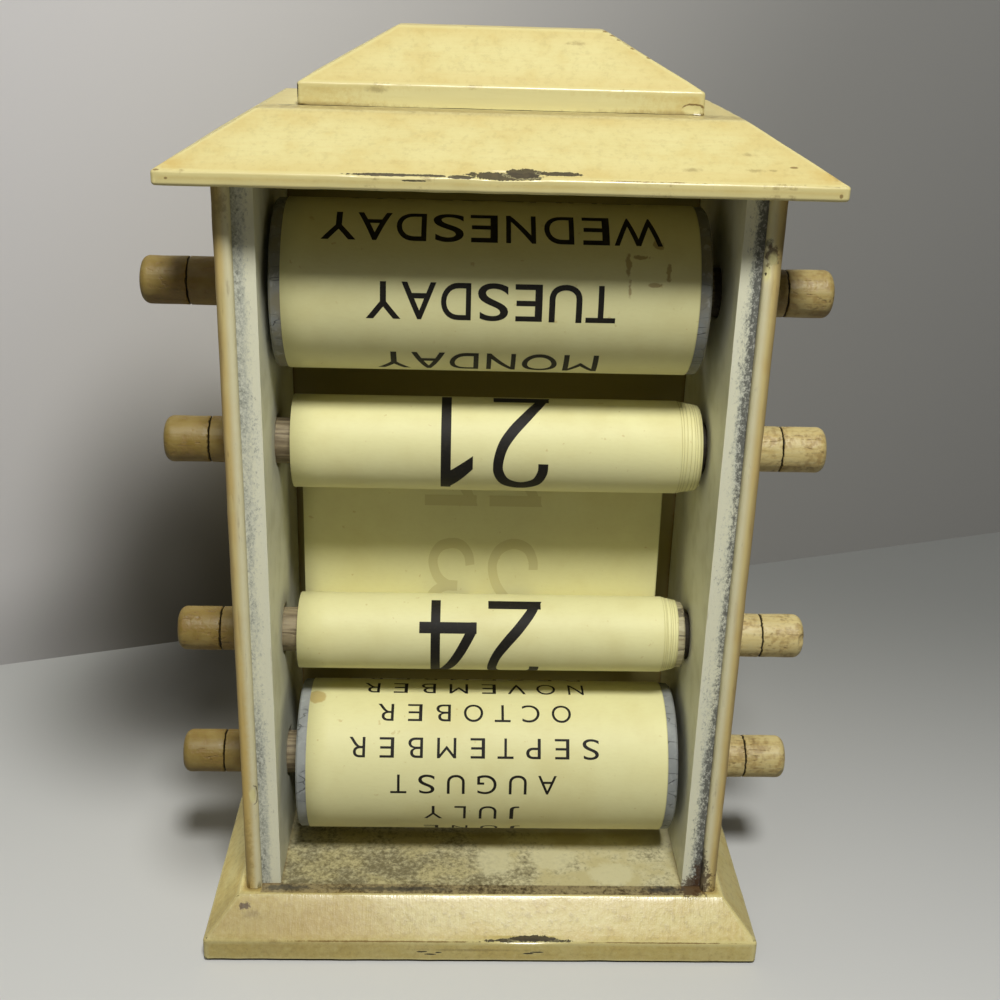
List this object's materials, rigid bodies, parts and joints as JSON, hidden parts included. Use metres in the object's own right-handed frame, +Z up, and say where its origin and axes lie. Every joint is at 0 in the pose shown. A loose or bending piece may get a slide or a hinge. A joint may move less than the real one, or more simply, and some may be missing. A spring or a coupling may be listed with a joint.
{
  "type": "perpetual desk calendar",
  "caption": "Painted wooden cabinet calendar, open at the back: a day drum, a month drum and a wound date scroll turn by side knobs behind windows.",
  "frame": {"origin": "centre of the flat face that the calendar rests on", "axes": "+Z up; the front with its windows faces -Y and the open back faces +Y; +X is the reader's right, along the rollers' axles"},
  "size_m": [0.1463, 0.0782, 0.1993],
  "materials": {
    "cabinet_paint": "aged cream paint, worn at the edges",
    "drum_paint": "grey paint",
    "knob_paint": "worn ochre paint",
    "bare_wood": "unpainted",
    "paper": "matt, yellowed",
    "felt": "felt",
    "steel": "plain"
  },
  "bodies": {
    "cabinet": {"felt_pad": "felt", "base_plinth": "cabinet_paint", "side_panel_left": "cabinet_paint", "side_panel_right": "cabinet_paint", "front_panel": "cabinet_paint", "roof_eave": "cabinet_paint", "roof_cap": "cabinet_paint", "base_screws": "steel", "cap_screws": "steel", "eave_dowels": "bare_wood", "date_scroll_band": "paper"},
    "day_roller": {"day_drum": "drum_paint", "day_label": "paper", "day_axle": "knob_paint", "day_knob_left": "knob_paint", "day_knob_right": "knob_paint"},
    "date_upper_roller": {"date_upper_core": "bare_wood", "date_upper_scroll": "paper", "date_upper_axle": "knob_paint", "date_upper_knob_left": "knob_paint", "date_upper_knob_right": "knob_paint"},
    "date_lower_roller": {"date_lower_core": "bare_wood", "date_lower_scroll": "paper", "date_lower_axle": "knob_paint", "date_lower_knob_left": "knob_paint", "date_lower_knob_right": "knob_paint"},
    "month_roller": {"month_drum": "drum_paint", "month_label": "paper", "month_axle": "knob_paint", "month_knob_left": "knob_paint", "month_knob_right": "knob_paint"}
  },
  "joints": [
    {"name": "day_turn", "type": "hinge", "parent": "cabinet", "child": "day_roller", "pos_m": [0, 0.00625, 0.1482], "axis": [1, 0, 0], "continuous": true},
    {"name": "date_upper_turn", "type": "hinge", "parent": "cabinet", "child": "date_upper_roller", "pos_m": [0, 0.00625, 0.1135], "axis": [1, 0, 0], "range_deg": [-1500, 4500]},
    {"name": "date_lower_turn", "type": "hinge", "parent": "cabinet", "child": "date_lower_roller", "pos_m": [0, 0.00625, 0.0675], "axis": [1, 0, 0], "range_deg": [-1740, 5215]},
    {"name": "month_turn", "type": "hinge", "parent": "cabinet", "child": "month_roller", "pos_m": [0, 0.00625, 0.0347], "axis": [1, 0, 0], "continuous": true}
  ],
  "couplings": [
    {"joint": "date_lower_turn", "follows": "date_upper_turn", "ratio": 1.1578}
  ]
}
